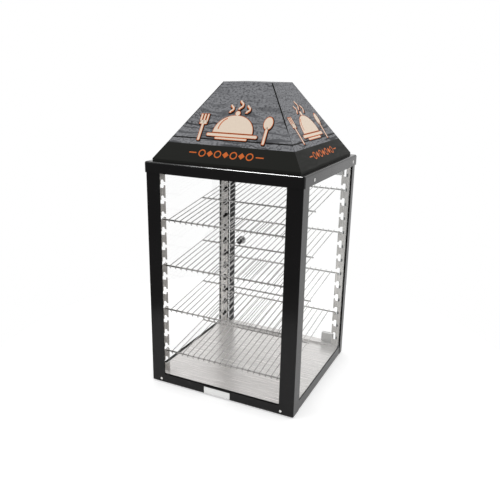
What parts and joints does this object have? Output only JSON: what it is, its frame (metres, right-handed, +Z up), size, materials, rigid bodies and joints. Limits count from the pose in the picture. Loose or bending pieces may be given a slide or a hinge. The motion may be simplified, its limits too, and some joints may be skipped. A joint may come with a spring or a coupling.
{
  "type": "hot food merchandiser",
  "caption": "Square glazed countertop food warmer with sloping wire shelves, a rear glass door, a flat cap and a pyramid canopy.",
  "frame": {"origin": "on the ground at the middle of the overall width and length, the rear door knob included", "axes": "+Z up, front glass towards -Y, operator's door towards +Y, +X to the right as seen from the front"},
  "size_m": [0.4642, 0.4646, 0.8755],
  "materials": {
    "black_enamel": "gloss black enamel on steel sheet",
    "stainless": "brushed stainless sheet",
    "clear_glass": "clear tempered glass",
    "bulb_glass": "lamp glass",
    "chrome_wire": "plated steel wire",
    "canopy_finish": "printed grey plank finish over steel sheet",
    "black_rubber": "moulded rubber",
    "black_plastic": "moulded black plastic",
    "red_plastic": "red moulded plastic",
    "cream_plastic": "heat-proof cream moulding",
    "motor_paint": "dark painted motor can",
    "aluminium_blades": "pressed sheet",
    "knob_metal": "turned metal"
  },
  "bodies": {
    "cabinet": {"base_pan": "black_enamel", "rubber_feet": "black_rubber", "front_frame": "black_enamel", "front_glass": "clear_glass", "left_glass": "clear_glass", "right_glass": "clear_glass", "rear_left_post": "black_enamel", "rear_right_post": "black_enamel", "rear_top_rail": "black_enamel", "floor_deck": "stainless", "rear_sill": "stainless", "standard_front_left": "stainless", "standard_front_right": "stainless", "standard_rear_left": "stainless", "standard_rear_right": "stainless", "ceiling_pan": "stainless", "top_cap": "black_enamel", "canopy": "canopy_finish", "control_panel": "stainless", "thermostat_body": "black_plastic", "heat_switch_body": "black_plastic", "light_switch_body": "black_plastic", "pilot_lamp": "red_plastic", "cord_gland": "black_plastic", "fan_bridge": "stainless", "fan_motor": "motor_paint", "heating_element": "stainless", "element_bracket": "stainless", "lamp_lens": "clear_glass", "lamp_holder": "cream_plastic", "lamp_bulb": "bulb_glass", "terminal_block": "cream_plastic", "hinge_bracket_lower": "stainless", "hinge_bracket_upper": "stainless", "door_catch": "black_plastic"},
    "rear_door": {"door_glass": "clear_glass", "door_edge_channel": "black_enamel", "door_clamp_lower": "stainless", "door_clamp_upper": "stainless", "door_knob": "knob_metal", "door_knob_washer": "knob_metal"},
    "fan": {"fan_blades": "aluminium_blades"},
    "dial": {"thermostat_dial": "black_plastic"},
    "heat_rocker": {"heat_switch_rocker": "red_plastic"},
    "light_rocker": {"light_switch_rocker": "black_plastic"},
    "shelf_1": {"wire_shelf_1": "chrome_wire"},
    "shelf_2": {"wire_shelf_2": "chrome_wire"},
    "shelf_3": {"wire_shelf_3": "chrome_wire"},
    "shelf_4": {"wire_shelf_4": "chrome_wire"}
  },
  "joints": [
    {"name": "door_hinge", "type": "hinge", "parent": "cabinet", "child": "rear_door", "pos_m": [0.1921, 0.20825, 0.3345], "axis": [0, 0, -1], "range_deg": [0, 110]},
    {"name": "fan_spin", "type": "hinge", "parent": "cabinet", "child": "fan", "pos_m": [0, 0.01375, 0.6565], "axis": [0, 0, 1], "continuous": true},
    {"name": "thermostat_turn", "type": "hinge", "parent": "cabinet", "child": "dial", "pos_m": [-0.054, 0.15064, 0.75258], "axis": [0, -0.8238, -0.5669], "range_deg": [0, 270]},
    {"name": "heat_switch_rock", "type": "hinge", "parent": "cabinet", "child": "heat_rocker", "pos_m": [0.018, 0.15031, 0.75235], "axis": [-1, 0, 0], "range_deg": [0, 16]},
    {"name": "light_switch_rock", "type": "hinge", "parent": "cabinet", "child": "light_rocker", "pos_m": [0.056, 0.15031, 0.75235], "axis": [-1, 0, 0], "range_deg": [0, 16]},
    {"name": "shelf_1_lift", "type": "slide", "parent": "cabinet", "child": "shelf_1", "axis": [0, 0, 1], "range_m": [0, 0.016]},
    {"name": "shelf_2_lift", "type": "slide", "parent": "cabinet", "child": "shelf_2", "axis": [0, 0, 1], "range_m": [0, 0.016]},
    {"name": "shelf_3_lift", "type": "slide", "parent": "cabinet", "child": "shelf_3", "axis": [0, 0, 1], "range_m": [0, 0.016]},
    {"name": "shelf_4_lift", "type": "slide", "parent": "cabinet", "child": "shelf_4", "axis": [0, 0, 1], "range_m": [0, 0.016]}
  ]
}
